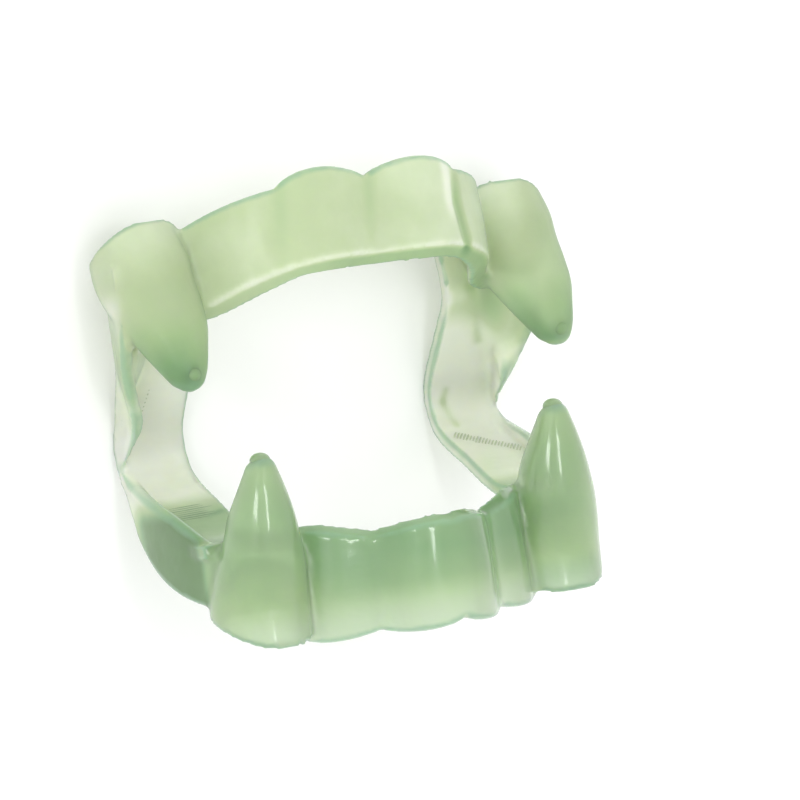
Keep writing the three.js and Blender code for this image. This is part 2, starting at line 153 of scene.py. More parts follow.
def ring_stack(name, rings, start, end, slack):
    """A closed piece through a stack of rings, with a point at each end."""
    size = len(rings[0])
    points = [p for ring in rings for p in ring] + [start, end]
    faces = []
    for i in range(len(rings) - 1):
        for j in range(size):
            a, b = i * size + j, i * size + (j + 1) % size
            faces.append((a, b, b + size, a + size))
    last = (len(rings) - 1) * size
    for j in range(size):
        n = (j + 1) % size
        faces.append((n, j, len(points) - 2))
        faces.append((last + j, last + n, len(points) - 1))
    return solid(name, [slack(*p) for p in points], faces)


def middle(ring):
    return tuple(sum(p[k] for p in ring) / len(ring) for k in range(3))


def finished_mesh(piece):
    """The piece's mesh with its modifiers applied."""
    graph = bpy.context.evaluated_depsgraph_get()
    return bpy.data.meshes.new_from_object(piece.evaluated_get(graph), depsgraph=graph)


def settle(piece):
    """Applies the piece's modifiers."""
    mesh = finished_mesh(piece)
    piece.modifiers.clear()
    old = piece.data
    piece.data = mesh
    bpy.data.meshes.remove(old)
    return piece


def join_or_cut(piece, other, way):
    work = piece.modifiers.new(way.lower(), "BOOLEAN")
    work.operation = way
    work.solver = "EXACT"
    work.object = other
    settle(piece)
    old = other.data
    bpy.data.objects.remove(other)
    bpy.data.meshes.remove(old)
    return piece


def gathered(name, pieces):
    """The pieces in one mesh, as they are."""
    points, faces = [], []
    for piece in pieces:
        first = len(points)
        points += [v.co.copy() for v in piece.data.vertices]
        faces += [[first + v for v in face.vertices] for face in piece.data.polygons]
        old = piece.data
        bpy.data.objects.remove(piece)
        bpy.data.meshes.remove(old)
    mesh = bpy.data.meshes.new(name)
    mesh.from_pydata(points, [], faces)
    whole = bpy.data.objects.new(name, mesh)
    bpy.context.scene.collection.objects.link(whole)
    return whole


# Sizes, in millimetres, as the frame has them

GUM_WALL, EDGE_ROUND, FANG_WALL, INNER_BULGE = 1.3, 0.4, 1.5, 0.6
UPPER_ROLL, LOWER_ROLL, CHEEK_LEAN = 1.9, -0.7, 1.1
CORNER_ACROSS, CORNER_AHEAD = 4.0, 3.2
CAP_RADIUS, CAP_HEIGHT = 1.15, 0.55
BAND_WIDTH, BAND_THICKNESS, BAND_INNER, BAND_DEPTH, SIDE_WALL = 8.4, 1.4, 15.6, 17.9, 1.5
PAST_FANG, TOOTH_FULLNESS = 0.43, 0.7
NUB_HEIGHT = 0.85
LOWER_NUB = dict(radius=1.12, sunk=0.45, green=0.55)
UPPER_NUB = dict(radius=0.95, sunk=0.66, green=0.62)
STEPS_PER_TOOTH, FANG_SIDES, BAND_STEPS, CHEEK_STEPS, NUB_SIDES = 24, 56, 110, 60, 32
SKIN_GRAIN, SOFTEN_ROUNDS = 0.32, 18

ARCH = "line across back narrow ahead lift tall"
UPPER = dict(
    up=1, roll=UPPER_ROLL, splay=0.3, spread=45.4, depth=9.1, front=-2.8, bite=15.8, bite_slope=1.0,
    height=8.6, bite_wall=2.2, bulge=0.8, scallop=1.5, side_scallop=0.2, bite_scallop=0.0, fang_radius=5.4,
    fang_length=18.8, tip=3.7, root=10.3, lobe_drop=0.22, hollow_end=0.4, reach=0.25,
    arch=rows(ARCH, (-1, -0.495, 0.03, 0.98, 0.17, -0.06, 1.03), (0, 0.0, 0.0, 1.0, 0.17, 0.0, 1.0),
              (1, 0.495, 0.03, 0.98, 0.17, -0.06, 1.03), (2, 0.82, 1.0, 0.95, 0.17, -0.43, 1.05),
              (3, 1.0, 1.25, 0.97, 0.17, -0.53, 0.85)),
    fang=rows("level radius ahead", (0.0, 0.22, 0.48), (0.11, 0.45, 0.44), (0.225, 0.63, 0.375),
              (0.365, 0.82, 0.295), (0.5, 0.95, 0.19), (0.63, 1.0, 0.115), (0.78, 1.0, 0.08),
              (1.0, 0.88, 0.0)))
LOWER = dict(
    up=-1, roll=LOWER_ROLL, splay=0.0, spread=37.0, depth=9.9, front=-10.1, bite=-13.2, bite_slope=0.6,
    height=10.7, bite_wall=1.7, bulge=0.9, scallop=0.8, side_scallop=0.6, bite_scallop=0.4, fang_radius=5.4,
    fang_length=20.7, tip=-3.2, root=1.3, lobe_drop=0.2, hollow_end=0.5, reach=0.0,
    arch=rows(ARCH, (-1, -0.42, 0.53, 0.96, 0.04, -0.045, 0.94), (0, 0.0, 0.0, 1.0, 0.01, 0.0, 0.99),
              (1, 0.42, 0.53, 0.96, 0.04, -0.045, 0.94), (2, 0.815, 1.0, 0.92, 0.08, 0.11, 1.06),
              (3, 1.0, 1.1, 0.92, 0.08, 0.13, 0.8)),
    fang=rows("level radius ahead", (0.0, 0.22, 0.23), (0.15, 0.46, 0.19), (0.29, 0.66, 0.145),
              (0.4, 0.76, 0.12), (0.51, 0.87, 0.08), (0.64, 0.95, 0.03), (0.77, 1.0, -0.015),
              (1.0, 0.93, 0.0)))
BAND_PATH = rows("back up wide", (0.680, 0.960, 0.5), (0.640, 0.760, 0.6), (0.640, 0.560, 0.3),
                 (0.785, 0.355, -0.6), (0.985, 0.090, -0.5), (1.035, -0.060, -0.1), (1.000, -0.230, 0.0),
                 (0.900, -0.340, 0.0), (0.690, -0.470, 0.0), (0.380, -0.660, 0.0), (0.100, -0.700, 0.0))
BAND_CORNER = rows("along full", (0.02, 0.9), (0.15, 1.0), (0.25, 0.9), (0.36, 0.5), (0.47, 0.1))
UPPER_CHEEK = rows("back low high out", (0.30, 0.620, 1.020, 2.8), (0.40, 0.450, 1.030, 2.5),
                   (0.49, 0.320, 1.030, 2.0), (0.58, 0.210, 1.010, 1.4), (0.65, 0.140, 0.960, 0.9),
                   (0.71, 0.070, 0.520, 0.4), (0.80, -0.020, 0.370, -0.1), (0.90, -0.100, 0.220, -0.3),
                   (0.98, -0.170, 0.110, -0.2))
LOWER_CHEEK = rows("back low high out", (0.06, -1.08, -0.72, -0.8), (0.18, -1.045, -0.64, -0.4),
                   (0.43, -0.96, -0.48, 0.4), (0.66, -0.83, -0.37, 0.6), (0.84, -0.64, -0.29, 0.4),
                   (0.93, -0.46, -0.24, 0.2), (0.99, -0.30, -0.18, 0.0))


# The tooth walls, fangs, bands and cheek walls

def jaw_slack(roll):
    """The moulding is soft and doesn't lie quite true: each jaw is rolled a little, in degrees."""
    return lambda x, y, z: (x, y, z - x * math.tan(math.radians(roll)))


def band_slack(x, y, z):
    return jaw_slack(mix(LOWER_ROLL, UPPER_ROLL, ease(z / 24 + 0.5)))(x, y, z)


def lean_at(z):
    """How far the cheek side of the upper cheek walls and bands leans over at a height."""
    return CHEEK_LEAN * ease(z / 8)


def arch_at(jaw, along):
    """The tooth arch's line and heights at a place along it, counted in teeth from the middle."""
    side = -1 if along < 0 else 1
    read = lambda name: column(jaw["arch"], "line", name, abs(along))
    return dict(
        across=side * read("across") * jaw["spread"] / 2, back=jaw["front"] + read("back") * jaw["depth"],
        bite=jaw["bite"] + read("lift") * jaw["height"], ahead=read("ahead") * jaw["height"],
        tall=read("tall") * jaw["height"], narrow=read("narrow"))


def tooth_wall(jaw):
    """The wall of front teeth, from one fang to the other. Its heights run from bite edge (0) to gum (1)."""
    steps = round((2 + PAST_FANG) * STEPS_PER_TOOTH)
    nearby = 0.04
    heights = [0, 0.025, 0.08, 0.16, 0.26, 0.36, 0.46, 0.56, 0.66, 0.76, 0.86, 0.94, 0.98, 1]
    rings = []
    for i in range(-steps, steps + 1):
        along = i / STEPS_PER_TOOTH
        here, before, after = arch_at(jaw, along), arch_at(jaw, along - nearby), arch_at(jaw, along + nearby)
        run = Vector((after["across"] - before["across"], after["back"] - before["back"])).normalized()
        out = Vector((run.y, -run.x))
        wave = abs(math.sin(math.pi * along)) if abs(along) < 2 else 0.0
        crown = wave ** TOOTH_FULLNESS
        rise = crown * (jaw["scallop"] if abs(along) < 1 else jaw["side_scallop"])
        edge_lift = jaw["up"] * jaw["bite_scallop"] * crown

        def face(high, inset, share):
            rounding = EDGE_ROUND if high in (0, 1) else 0
            fullest = math.sin(math.pi * mix(0.15, 0.85, high))
            swell = jaw["bulge"] * wave ** 2 * mix(0.55, 1, fullest) * share
            offset = swell - inset - (-rounding if inset > 0 else rounding)
            narrow = mix(here["narrow"], 1, high)
            slope = jaw["up"] * jaw["bite_slope"] if inset > 0 else 0
            return (here["across"] * narrow + out.x * offset,
                    here["back"] - here["ahead"] * (1 - high) + out.y * offset,
                    here["bite"] - (edge_lift + slope) * (1 - high)
                    + jaw["up"] * high * (here["tall"] + rise))

        outer = [face(h, 0, 1) for h in heights]
        inner = [face(h, mix(jaw["bite_wall"], GUM_WALL, h), INNER_BULGE) for h in heights]
        rings.append(outer + inner[::-1])
    return loft("tooth_wall", rings, jaw_slack(jaw["roll"]))


def fang_at(jaw, side, level):
    """The fang's middle and radius at a level from its tip (0) to its gum (1)."""
    return (side * (jaw["spread"] / 2 + jaw["splay"] * (1 - level)),
            jaw["root"] - column(jaw["fang"], "level", "ahead", level) * jaw["fang_length"],
            jaw["tip"] + jaw["up"] * level * jaw["fang_length"],
            column(jaw["fang"], "level", "radius", level) * jaw["fang_radius"])


def fang_ring(jaw, side, share):
    """One ring of the fang. Towards the gum, its outer side stops lower than its inner side."""
    ring = []
    for i in range(FANG_SIDES):
        angle = i / FANG_SIDES * 2 * math.pi
        turn = math.degrees(angle - 2 * math.pi if angle > math.pi else angle)
        fall = jaw["lobe_drop"] * ease((turn - 10) / 120) + 0.05 * ease((-turn - 20) / 60)
        lobe = 1 - max(fall, jaw["lobe_drop"] if turn < -100 else 0)
        x, y, z, radius = fang_at(jaw, side, share * mix(1, lobe, ease(share)))
        backwards = ease((-turn - 90) / 30) * ease((turn + 180) / 30)
        inner_back = jaw["reach"] * backwards * ease(share * 2 - 0.7) if turn < 0 else 0
        ring.append((x + side * math.sin(angle) * radius, y - math.cos(angle) * radius * (1 + inner_back), z))
    return ring


def fang(jaw, side):
    """A fang with the small rounded cap at its tip."""
    levels = [0.035, 0.055] + [0.08 + 0.92 * k / 30 for k in range(31)]
    body = [fang_ring(jaw, side, level) for level in levels]
    x, y, z, _ = fang_at(jaw, side, 0)
    cap = []
    for share in (0.03, 0.12, 0.3, 0.5, 0.7, 0.85, 1.0):
        radius = CAP_RADIUS * math.sqrt(1 - (1 - share) ** 2)
        cap.append([(x + side * math.sin(a) * radius, y - math.cos(a) * radius,
                     z + jaw["up"] * share * CAP_HEIGHT)
                    for a in (i / FANG_SIDES * 2 * math.pi for i in range(FANG_SIDES))])
    return ring_stack("fang", cap + body, (x, y, z), middle(body[-1]), jaw_slack(jaw["roll"]))


def fang_hollow(jaw, side):
    """What is cut out of a fang: a round-ended hollow, open at the gum."""
    steps, past_gum, round_end = 26, 1.15, 2.5
    rings = []
    for i in range(steps + 1):
        share = i / steps
        level = mix(jaw["hollow_end"], past_gum, share)
        narrow = math.sqrt(1 - (1 - min(max(share * round_end, 0.04), 1)) ** 2)
        x, y, _, radius = fang_at(jaw, side, min(level, 1))
        radius = (radius - FANG_WALL) * narrow
        rings.append([(x + side * math.sin(a) * radius, y - math.cos(a) * radius,
                       jaw["tip"] + jaw["up"] * level * jaw["fang_length"])
                      for a in (j / FANG_SIDES * 2 * math.pi for j in range(FANG_SIDES))])
    return ring_stack("fang_hollow", rings, middle(rings[0]), middle(rings[-1]), jaw_slack(jaw["roll"]))


def band_line(steps):
    """Evenly spaced points and directions along the band's middle line, front to back and height."""
    keys = [Vector((r["back"] * BAND_DEPTH, r["up"] * BAND_DEPTH)) for r in BAND_PATH]
    fine = []
    for i in range(len(keys) - 1):
        p0, p1, p2 = keys[max(i - 1, 0)], keys[i], keys[i + 1]
        p3 = keys[min(i + 2, len(keys) - 1)]
        for k in range(24):
            t = k / 24
            fine.append(0.5 * (2 * p1 + (p2 - p0) * t + (2 * p0 - 5 * p1 + 4 * p2 - p3) * t * t
                               + (3 * p1 - p0 - 3 * p2 + p3) * t ** 3))
    fine.append(keys[-1])
    fine = np.array(fine)
    reach = np.concatenate([[0], np.cumsum(np.linalg.norm(np.diff(fine, axis=0), axis=1))])
    at = np.linspace(0, reach[-1], steps + 1)
    spots = np.stack([np.interp(at, reach, fine[:, k]) for k in range(2)], axis=1)
    runs = np.gradient(spots, axis=0)
    return spots, runs / np.linalg.norm(runs, axis=1, keepdims=True)


def band(side):
    """A side band, from the back of the upper jaw round the bend to the lower jaw."""
    from_below = BAND_PATH[::-1]
    rings = []
    for (y, z), (ry, rz) in zip(*band_line(BAND_STEPS)):
        across = (-rz * BAND_THICKNESS / 2, ry * BAND_THICKNESS / 2)
        spot = lambda x, way: (x, y + way * across[0], z + way * across[1])
        wide = column(from_below, "up", "wide", z / BAND_DEPTH)
        inner = side * BAND_INNER
        outer = side * (BAND_INNER + BAND_WIDTH + wide) - lean_at(z)
        rings.append([spot(inner, -1), spot(outer, -1), spot(outer, 1), spot(inner, 1)])
    return loft("band", rings, band_slack)


def band_corner(side):
    """The filled corner between the front of a band and the inner face of its upper cheek wall."""
    spots, runs = band_line(BAND_STEPS)
    outer = BAND_INNER + BAND_WIDTH
    rings = []
    for i, ((y, z), (ry, rz)) in enumerate(zip(spots, runs)):
        at = i / BAND_STEPS
        if not BAND_CORNER[0]["along"] <= at <= BAND_CORNER[-1]["along"]:
            continue
        full = column(BAND_CORNER, "along", "full", at)
        spot = lambda x, ahead: (side * x - lean_at(z), y + rz * ahead, z - ry * ahead)
        front = BAND_THICKNESS / 2 + CORNER_AHEAD * full
        rings.append([spot(outer - CORNER_ACROSS * full, 0), spot(outer, front), spot(outer, 0)])
    return ring_stack("band_corner", rings, middle(rings[0]), middle(rings[-1]), band_slack)


def cheek(table, side):
    """A cheek wall on the outer edge of a band."""
    levels = [0, 0.05, 0.2, 0.4, 0.6, 0.8, 0.95, 1]
    rings = []
    for i in range(CHEEK_STEPS + 1):
        at = mix(table[0]["back"], table[-1]["back"], i / CHEEK_STEPS)
        low, high, out = (column(table, "back", name, at) for name in ("low", "high", "out"))
        outer = BAND_INNER + BAND_WIDTH + out
        heights = [(k, mix(low, high, k) * BAND_DEPTH) for k in levels]
        face = lambda x, way: [(side * (x + way * (EDGE_ROUND if k in (0, 1) else 0)) - lean_at(z),
                                at * BAND_DEPTH, z) for k, z in heights]
        wall = SIDE_WALL * (1 - 0.75 * ease((at - 0.70) / 0.2)) if table is UPPER_CHEEK else SIDE_WALL
        rings.append(face(outer, -1) + face(outer - wall, 1)[::-1])
    return loft("cheek", rings, band_slack)


def moulding():
    """Everything joined into one skin of small even faces, still upright and in millimetres."""
    jaws = []
    for jaw in (UPPER, LOWER):
        whole = tooth_wall(jaw)
        for side in (-1, 1):
            join_or_cut(whole, fang(jaw, side), "UNION")
        for side in (-1, 1):
            join_or_cut(whole, fang_hollow(jaw, side), "DIFFERENCE")
        jaws.append(whole)
    parts = jaws
    for side in (-1, 1):
        parts += [band(side), band_corner(side), cheek(UPPER_CHEEK, side), cheek(LOWER_CHEEK, side)]
    whole = gathered("denture_moulding", parts)
    skin = whole.modifiers.new("skin", "REMESH")
    skin.mode = "VOXEL"
    skin.voxel_size = SKIN_GRAIN
    return settle(whole)


def neighbours(mesh):
    """The mesh's edges, as pairs of vertex numbers."""
    edges = np.empty(len(mesh.edges) * 2, np.int32)
    mesh.edges.foreach_get("vertices", edges)
    return edges.reshape(-1, 2)


def soften(values, edges, share, rounds=1):
    """Moves each vertex's value towards the mean of its neighbours'."""
    count = np.bincount(edges.ravel(), minlength=len(values)).astype(float)
    flat = values.reshape(len(values), -1).copy()
    for _ in range(rounds):
        for k in range(flat.shape[1]):
            total = (np.bincount(edges[:, 0], flat[edges[:, 1], k], len(flat))
                     + np.bincount(edges[:, 1], flat[edges[:, 0], k], len(flat)))
            flat[:, k] += share * (total / count - flat[:, k])
    return flat.reshape(values.shape)


def mesh_points(mesh):
    co = np.empty(len(mesh.vertices) * 3, np.float32)
    mesh.vertices.foreach_get("co", co)
    return co.reshape(-1, 3).astype(float)


def mesh_normals(mesh):
    normals = np.empty(len(mesh.vertices) * 3, np.float32)
    mesh.vertices.foreach_get("normal", normals)
    return normals.reshape(-1, 3).astype(float)


def add_values(mesh, name, values):
    layer = mesh.attributes.new(name, "FLOAT", "POINT")
    layer.data.foreach_set("value", values.astype(np.float32))


def add_place(mesh, points):
    """Keeps each vertex's upright place in millimetres, which the finish reads."""
    layer = mesh.attributes.new("upright", "FLOAT_VECTOR", "POINT")
    layer.data.foreach_set("vector", points.astype(np.float32).ravel())


def smooth_step(values):
    k = np.clip(values, 0, 1)
    return k * k * (3 - 2 * k)


# How green the plastic looks at a height, from pale (0) to dark green (1): the teeth and fangs are solid or
# thick, and the bands are thin.
LOWER_TEETH_GREEN = rows("z share", (-25.5, 0.22), (-24.0, 0.26), (-21.5, 0.40), (-19.0, 0.61),
                         (-16.0, 0.73), (-12.0, 0.72))
LOWER_FANG_GREEN = rows("z share", (-26.0, 0.24), (-23.0, 0.32), (-19.0, 0.44), (-15.0, 0.58), (-10.0, 0.60),
                        (-6.0, 0.52), (-3.0, 0.47))
UPPER_FANG_GREEN = rows("z share", (3.0, 0.60), (6.5, 0.53), (10.0, 0.40), (14.0, 0.26), (18.0, 0.18),
                        (22.0, 0.15), (26.5, 0.14))
# The last green is for the thick lower side walls, and it holds painted shade as well.
BAND_GREEN, WALL_GREEN, STRIP_GREEN, SIDE_WALL_AND_SHADE_GREEN = 0.0, 0.20, 0.54, 0.95


# The valley down the tooth wall beside the left upper fang, dented into the shape and darkened with painted
# shade: x at a height, from the bite edge up.
VALLEY = rows("z x", (15.2, 10.7), (20.0, 10.3), (24.0, 10.9))
VALLEY_WIDE, VALLEY_DEEP = 1.2, 0.35
# Where the painted shade along the seams between the upper teeth runs: x at 17 mm and at 24 mm up.
SEAM_SHADE_LINES = ((-11.9, -10.9), (-1.3, 0.2))
# Faint creases in the bands: start, end, width and how much greener they look.
CREASES = (((18.6, 10.6, 10.5), (20.7, 14.2, 4.5), 0.8, 0.2),
           ((17.8, 17.7, -0.4), (17.2, 17.8, -1.7), 0.5, 0.28),
           ((17.2, 17.8, -1.7), (18.0, 16.8, -4.5), 0.5, 0.28),
           ((-24.2, 7.8, -9.2), (-16.4, 10.5, -9.0), 0.55, 0.3))


def past_valley(points):
    """How far to the left of the valley's line a place is."""
    return points[:, 0] - np.interp(points[:, 2], [r["z"] for r in VALLEY], [r["x"] for r in VALLEY])


def near_valley(points):
    """1 in the valley, falling to 0 at its sides and its ends."""
    z = points[:, 2]
    near = smooth_step(1 - np.abs(past_valley(points)) / VALLEY_WIDE) * smooth_step((3 - points[:, 1]) / 2)
    return near * smooth_step((z - 13.5) / 2) * smooth_step((25 - z) / 5)


def near_line(points, start, end, width):
    """1 on the line from start to end, falling to 0 at width from it."""
    start, end = np.array(start), np.array(end)
    along = np.clip((points - start) @ (end - start) / ((end - start) @ (end - start)), 0, 1)
    away = np.linalg.norm(points - start - along[:, None] * (end - start), axis=1)
    return smooth_step(1 - away / width)


def green_share(points, normals, edge):
    """How green each place looks, with painted shade in places, and how much painted highlight the pale lip
    along the bite edge has.
    """
    x, y, z = points[:, 0], points[:, 1], points[:, 2]
    wide = np.abs(x)

    # The two jaws, and the bands between them
    read = lambda table: np.interp(z, [r["z"] for r in table], [r["share"] for r in table])
    teeth = read(LOWER_TEETH_GREEN)
    lower = teeth + (read(LOWER_FANG_GREEN) - teeth) * smooth_step((wide - 12.6) / 2)
    beside = smooth_step((wide - 20.5) / 2)
    in_lower = smooth_step((-1 - z) / 2) * smooth_step((8.5 - 4.5 * beside - y) / (4 - 2 * beside))
    in_upper = smooth_step((z - 2) / 2) * smooth_step((13.5 - y) / 4)
    in_fang = in_upper * smooth_step((wide - 17) / 2.5)
    strip = in_upper * (1 - in_fang) * smooth_step((-normals[:, 2] - 0.25) / 0.4)
    strip = strip * (1 - 0.65 * smooth_step((-2 - x) / 12))
    wall = WALL_GREEN - 0.04 * smooth_step((x - 1) / 4)
    upper = wall + (read(UPPER_FANG_GREEN) - wall) * in_fang + (STRIP_GREEN - wall) * strip
    share = BAND_GREEN + (upper - BAND_GREEN) * in_upper
    share = share + (lower - share) * in_lower

    # The thick side walls of the lower jaw, greener still as painted shade on the x < 0 side, and the thin
    # walls behind the upper fangs
    side_wall = smooth_step((-6.5 - z) / 3) * smooth_step((17 - y) / 4) * (1 - in_lower)
    outside = smooth_step((normals[:, 0] * np.sign(x) - 0.3) / 0.4)
    # Painted shade: the side wall on the x < 0 side takes the full green, the other side a tenth of it.
    side_shade = np.where(x < 0, 1.0, 0.1)
    share = share + (SIDE_WALL_AND_SHADE_GREEN - share) * side_wall * side_shade * (0.6 + 0.4 * outside)
    behind_fang = smooth_step((z + 2) / 3) * smooth_step((y - 4) / 3) * smooth_step((wide - 20.5) / 2)
    front_face = smooth_step((-normals[:, 1] - 0.45) / 0.3) * smooth_step((15 - y) / 3)
    share = share + (0.03 + 0.05 * front_face - share) * behind_fang * smooth_step((17 - z) / 3)

    # The valley's painted shade, the painted highlight on the crown of the tooth beside it, the creases, and
    # painted shade along the seams
    crown = smooth_step(1 - np.abs(past_valley(points) + 1.3) / 1.2) * smooth_step((z - 17) / 4)
    # Painted shade: greener in the valley. Painted highlight: less green on the tooth crown beside it.
    share = share + 0.3 * near_valley(points) - 0.2 * crown * in_upper * (x > 5)
    for start, end, width, greener in CREASES:
        share = share + greener * near_line(points, start, end, width)
    for low_x, high_x in SEAM_SHADE_LINES:
        # Painted shade: a soft greener stripe along each seam between the upper teeth.
        seam_shade = smooth_step(1 - np.abs(x - mix(low_x, high_x, (z - 17) / 7)) / 1.1)
        share = share + 0.12 * seam_shade * in_upper * smooth_step((z - 16) / 6) * smooth_step((1 - y) / 2)

    # The pale lip along the bite edge: a painted highlight, less green than the plastic around it
    lip_highlight = in_upper * (1 - in_fang) * smooth_step((edge - 0.02) / 0.03) * smooth_step((17.5 - z) / 1.5)
    lip_highlight = lip_highlight * smooth_step((0.2 - normals[:, 2]) / 0.3) * smooth_step((normals[:, 2] + 0.9) / 0.3)
    share = share - 0.3 * lip_highlight

    # The fangs: greener low down, and painted shade on their undersides and on the sides turned away from the
    # light
    share = share + 0.26 * in_lower * smooth_step((x - 13) / 2) * smooth_step((-19 - z) / 3)
    # Painted shade on the x < 0 upper fang, most on its faces turned towards -x.
    away_side_shade = smooth_step((-normals[:, 0] + 0.6) / 1.1)
    share = share + (0.06 + 0.18 * away_side_shade) * in_fang * (x < 0) * smooth_step((14 - z) / 7)
    share = share + (0.14 * smooth_step((x - 21) / 5) - 0.05) * in_fang * (x > 0)
    # Painted shade on the undersides of the x > 0 upper fang.
    underside_shade = smooth_step((-0.6 * normals[:, 0] - 0.75 * normals[:, 2] - 0.1) / 0.7)
    share = share + 0.17 * underside_shade * in_fang * (x > 0) * smooth_step((16 - z) / 7)
    return np.clip(share, 0, 1), lip_highlight


def finished_denture():
    """The moulding with its skin evened out, its finish values kept on it, laid down in metres."""
    raw = moulding()
    mesh = raw.data
    mesh.name = "denture_moulding"
    raw.name = "denture_moulding"
    edges = neighbours(mesh)
    points = mesh_points(mesh)
    for _ in range(SOFTEN_ROUNDS):
        points = soften(points, edges, 0.5)
        points = soften(points, edges, -0.51)
    mesh.vertices.foreach_set("co", points.astype(np.float32).ravel())
    mesh.update()
    points = points - mesh_normals(mesh) * (near_valley(points) * VALLEY_DEEP)[:, None]
    mesh.vertices.foreach_set("co", points.astype(np.float32).ravel())
    mesh.update()
    normals = mesh_normals(mesh)
    around = soften(points, edges, 0.5, 6)
    edge = np.einsum("ij,ij->i", points - around, normals)
    x, y, z = points[:, 0], points[:, 1], points[:, 2]
    add_values(mesh, "milky_share", smooth_step((-19 - z) / 5) * smooth_step((6.5 - y) / 3))
    green, lip_highlight = green_share(points, normals, edge)
    beside_fang = smooth_step((-26.3 - x) / 0.8) * smooth_step((z - 13) / 2) * smooth_step((21.5 - z) / 2)
    # The teal rim is kept off the lip's painted highlight and off the wall beside the fangs.
    add_values(mesh, "edge_turn", edge * (1 - lip_highlight) * (1 - beside_fang))
    add_values(mesh, "green_share", soften(green, edges, 0.5, 2))
    add_place(mesh, points)
    mesh.transform(Matrix.Scale(MM, 4) @ laid_down())
    mesh.shade_smooth()
    return raw


denture = finished_denture()


# Finish

def link(tree, a, b):
    tree.links.new(a, b)


def moulded_skin():
    """The fine unevenness of moulded plastic, from a place on the piece in millimetres."""
    group = bpy.data.node_groups.new("moulded_skin", "ShaderNodeTree")
    sockets = group.interface
    sockets.new_socket("Place", in_out="INPUT", socket_type="NodeSocketVector")
    sockets.new_socket("Cloud size", in_out="INPUT", socket_type="NodeSocketFloat").default_value = 6.0
    sockets.new_socket("Ripple size", in_out="INPUT", socket_type="NodeSocketFloat").default_value = 1.6
    sockets.new_socket("Clouds", in_out="OUTPUT", socket_type="NodeSocketFloat")
    sockets.new_socket("Height", in_out="OUTPUT", socket_type="NodeSocketFloat")
    sockets.new_socket("Rub", in_out="OUTPUT", socket_type="NodeSocketFloat")
    nodes = group.nodes
    given, made = nodes.new("NodeGroupInput"), nodes.new("NodeGroupOutput")

    def noise(per, detail, stretch=(1, 1, 1)):
        place = nodes.new("ShaderNodeVectorMath")
        place.operation = "MULTIPLY"
        place.inputs[1].default_value = stretch
        link(group, given.outputs["Place"], place.inputs[0])
        shrink = nodes.new("ShaderNodeMath")
        shrink.operation = "DIVIDE"
        shrink.inputs[0].default_value = 1.0
        link(group, per, shrink.inputs[1])
        texture = nodes.new("ShaderNodeTexNoise")
        texture.inputs["Detail"].default_value = detail
        link(group, place.outputs[0], texture.inputs["Vector"])
        link(group, shrink.outputs[0], texture.inputs["Scale"])
        return texture.outputs["Fac"]

    clouds = noise(given.outputs["Cloud size"], 4.0)
    ripples = noise(given.outputs["Ripple size"], 2.0, (0.35, 1.0, 1.0))
    rub = noise(given.outputs["Ripple size"], 6.0, (3.0, 1.0, 0.6))
    link(group, clouds, made.inputs["Clouds"])
    link(group, ripples, made.inputs["Height"])
    link(group, rub, made.inputs["Rub"])
    return group


def spread(tree, value, low, high, to_low, to_high):
    """Maps a value from low..high to to_low..to_high."""
    step = tree.nodes.new("ShaderNodeMapRange")
    for name, number in (("From Min", low), ("From Max", high), ("To Min", to_low), ("To Max", to_high)):
        step.inputs[name].default_value = number
    link(tree, value, step.inputs["Value"])
    return step.outputs["Result"]


def blend(tree, share, first, second):
    """Mixes two colours by a share."""
    step = tree.nodes.new("ShaderNodeMix")
    step.data_type = "RGBA"
    for value, name in ((share, "Factor"), (first, "A"), (second, "B")):
        socket = step.inputs[name]
        if isinstance(value, (int, float, tuple)):
            socket.default_value = value
        else:
            link(tree, value, socket)
    return step.outputs["Result"]


# The plastic's colour by its green share, from thin to thick
TINTS = ((0.0, (0.95, 1.0, 0.86, 1)), (0.22, (0.61, 0.71, 0.455, 1)), (0.46, (0.455, 0.62, 0.33, 1)),
         (0.74, (0.23, 0.42, 0.19, 1)), (0.98, (0.12, 0.24, 0.08, 1)))
TEAL_RIM = (0.32, 0.54, 0.37, 1)    # along sharp edges
MILKY = (0.60, 0.72, 0.56, 1)       # at the gum edge of the lower teeth
SLANTED = (0.30, 0.49, 0.27, 1)     # where the skin turns away and is seen through its depth


